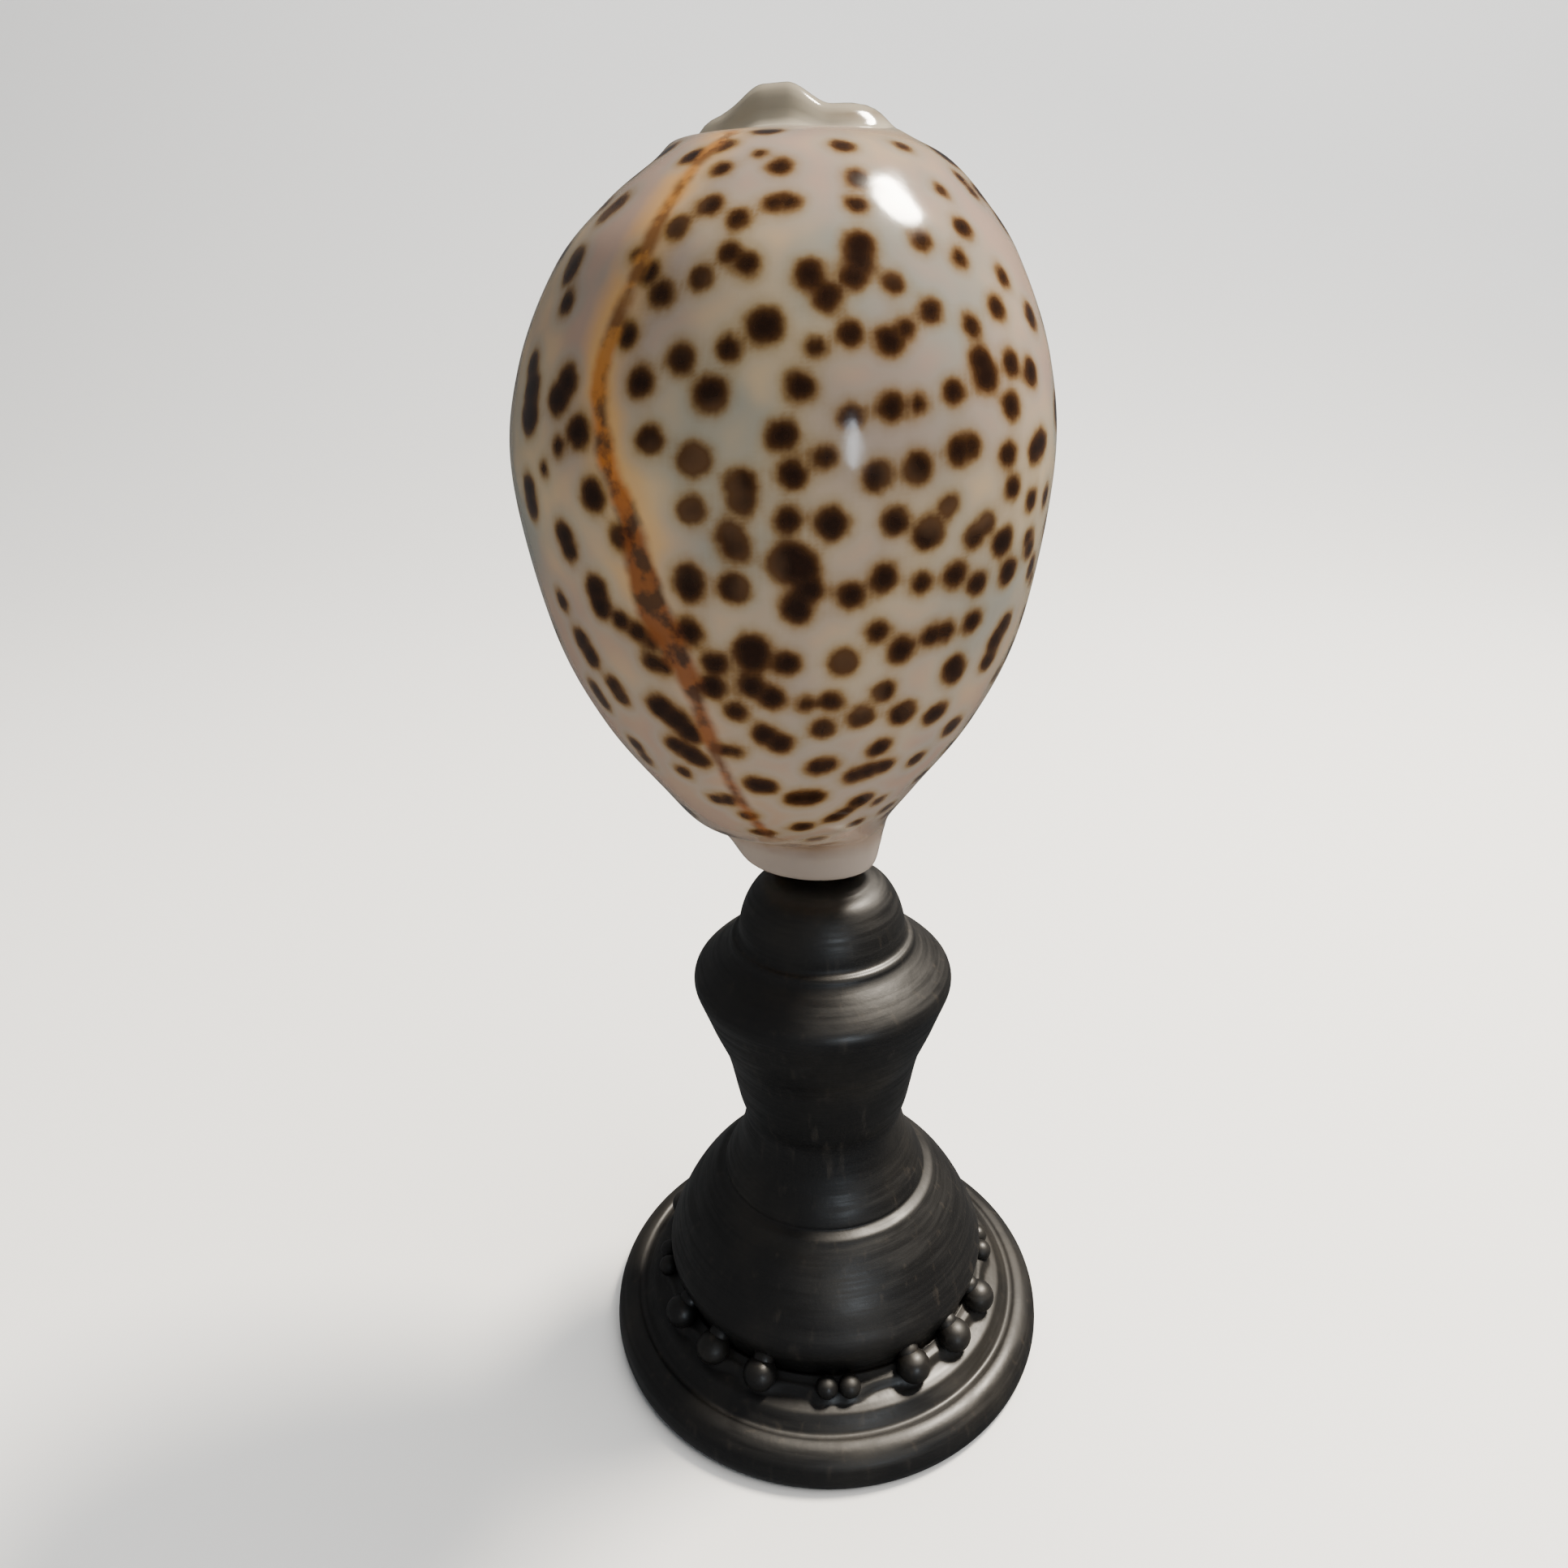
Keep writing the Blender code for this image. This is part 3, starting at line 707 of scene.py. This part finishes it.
def build_stand(surface):
    bm = bmesh.new()
    rings = []
    beads = bead_turns()
    for radius, height in smooth_outline(STAND_OUTLINE, OUTLINE_STEPS):
        ring = []
        on_foot = height < APRON_TOP and radius < APRON_REACH
        for i in range(STAND_SIDES):
            turn = 2.0 * math.pi * i / STAND_SIDES
            raised = height + (apron(turn, radius, beads) if on_foot else 0.0)
            spot = Vector((radius * math.sin(turn), -radius * math.cos(turn), raised))
            ring.append(bm.verts.new(spot * MM))
        rings.append(ring)
    for lower, upper in zip(rings, rings[1:]):
        for i in range(STAND_SIDES):
            j = (i + 1) % STAND_SIDES
            bm.faces.new((lower[i], lower[j], upper[j], upper[i]))
    bm.faces.new(list(reversed(rings[0])))
    bm.faces.new(rings[-1])
    for turn_deg, (ring_radius, height, radius, half_height) in beads:
        turn = math.radians(turn_deg)
        middle = Vector((ring_radius * math.sin(turn), -ring_radius * math.cos(turn), height)) * MM
        size = Matrix.Diagonal((radius * MM, radius * MM, half_height * MM, 1.0))
        place = Matrix.Translation(middle) @ Matrix.Rotation(turn, 4, "Z") @ size
        bmesh.ops.create_uvsphere(bm, u_segments=28, v_segments=18, radius=1.0, matrix=place)
    bmesh.ops.recalc_face_normals(bm, faces=bm.faces[:])
    mesh = bpy.data.meshes.new("turned_stand")
    bm.to_mesh(mesh)
    bm.free()
    mesh.polygons.foreach_set("use_smooth", [True] * len(mesh.polygons))
    mesh.materials.append(surface)
    made = bpy.data.objects.new("turned_stand", mesh)
    bpy.context.scene.collection.objects.link(made)
    return made


def build_floor(surface):
    """A pale floor that curves up behind the object, so that no horizon shows."""
    outline = [(-1.6, 0.0), (0.4, 0.0)]
    outline += [(0.4 + 1.2 * math.sin(a), 1.2 - 1.2 * math.cos(a)) for a in np.linspace(0.05, 1.55, 31)]
    outline += [(1.6, 1.3), (1.6, 2.4)]
    verts = [(x, y, z) for y, z in outline for x in (-2.4, 2.4)]
    faces = [(2 * i, 2 * i + 1, 2 * i + 3, 2 * i + 2) for i in range(len(outline) - 1)]
    return mesh_object("floor", verts, faces, surface)


def area_light(name, spot, target, size, power, colour):
    lamp = bpy.data.lights.new(name, "AREA")
    lamp.shape = "ELLIPSE"
    lamp.size, lamp.size_y = size
    lamp.energy = power
    lamp.color = colour
    made = bpy.data.objects.new(name, lamp)
    made.location = spot
    made.rotation_euler = (Vector(target) - Vector(spot)).to_track_quat("-Z", "Y").to_euler()
    bpy.context.scene.collection.objects.link(made)
    return made


def mirrored(tree, px, py, distance):
    """Where a light has to be for its reflection on the shell to show at a place in the photograph."""
    line = sight(px, py)
    hit, normal = tree.ray_cast(CAMERA_SPOT, line)[:2]
    back = line.reflect(normal)
    return hit + back * distance, hit


shell, shell_lips, shell_places = build_shell(shell_material())
shell_marks(shell, shell_lips, shell_places)
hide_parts("shell")
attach(shell, "root")

stand = build_stand(stand_material())
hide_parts("stand")
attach(stand, "root")

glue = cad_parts["glue"]
glue.data.materials.clear()
glue.data.materials.append(glue_material())

floor = build_floor(floor_material())
floor.visible_glossy = False

right, up, forward = camera_axes()
camera = bpy.data.objects.new("camera", bpy.data.cameras.new("camera"))
camera.data.sensor_width = SENSOR_MM
camera.data.lens = SENSOR_MM * FOCAL_PX / PHOTO_SIZE
camera.data.clip_start = 0.005
turned = Matrix((right, up, -forward)).transposed().to_4x4()
camera.matrix_world = Matrix.Translation(CAMERA_SPOT) @ turned
bpy.context.scene.collection.objects.link(camera)
bpy.context.scene.camera = camera

shell_tree = BVHTree.FromPolygons(
    [v.co for v in shell.data.vertices], [p.vertices for p in shell.data.polygons]
)
key_spot, key_target = mirrored(shell_tree, *KEY_SHOWS_AT, KEY_DISTANCE)
area_light("key", key_spot, key_target, (0.17, 0.13), 13.0, (1.0, 0.90, 0.76))
window_spot, window_target = mirrored(shell_tree, *WINDOW_SHOWS_AT, WINDOW_DISTANCE)
area_light("window", window_spot, window_target, (0.07, 0.22), 0.7, (0.80, 0.90, 1.0))
overhead = area_light("overhead", (0.9, -0.1, 1.5), (0.1, 0.4, 0.0), (2.0, 2.0), 46.0, (1.0, 0.98, 0.95))
overhead.visible_glossy = False
wash = area_light("wash", (0.0, 0.7, 1.7), (0.0, 1.55, 0.35), (2.4, 0.6), 24.0, (1.0, 1.0, 1.0))
wash.visible_glossy = False

world = bpy.data.worlds.new("studio")
world.use_nodes = True
world.node_tree.nodes["Background"].inputs["Color"].default_value = (0.86, 0.88, 0.90, 1.0)
world.node_tree.nodes["Background"].inputs["Strength"].default_value = 0.14
bpy.context.scene.world = world
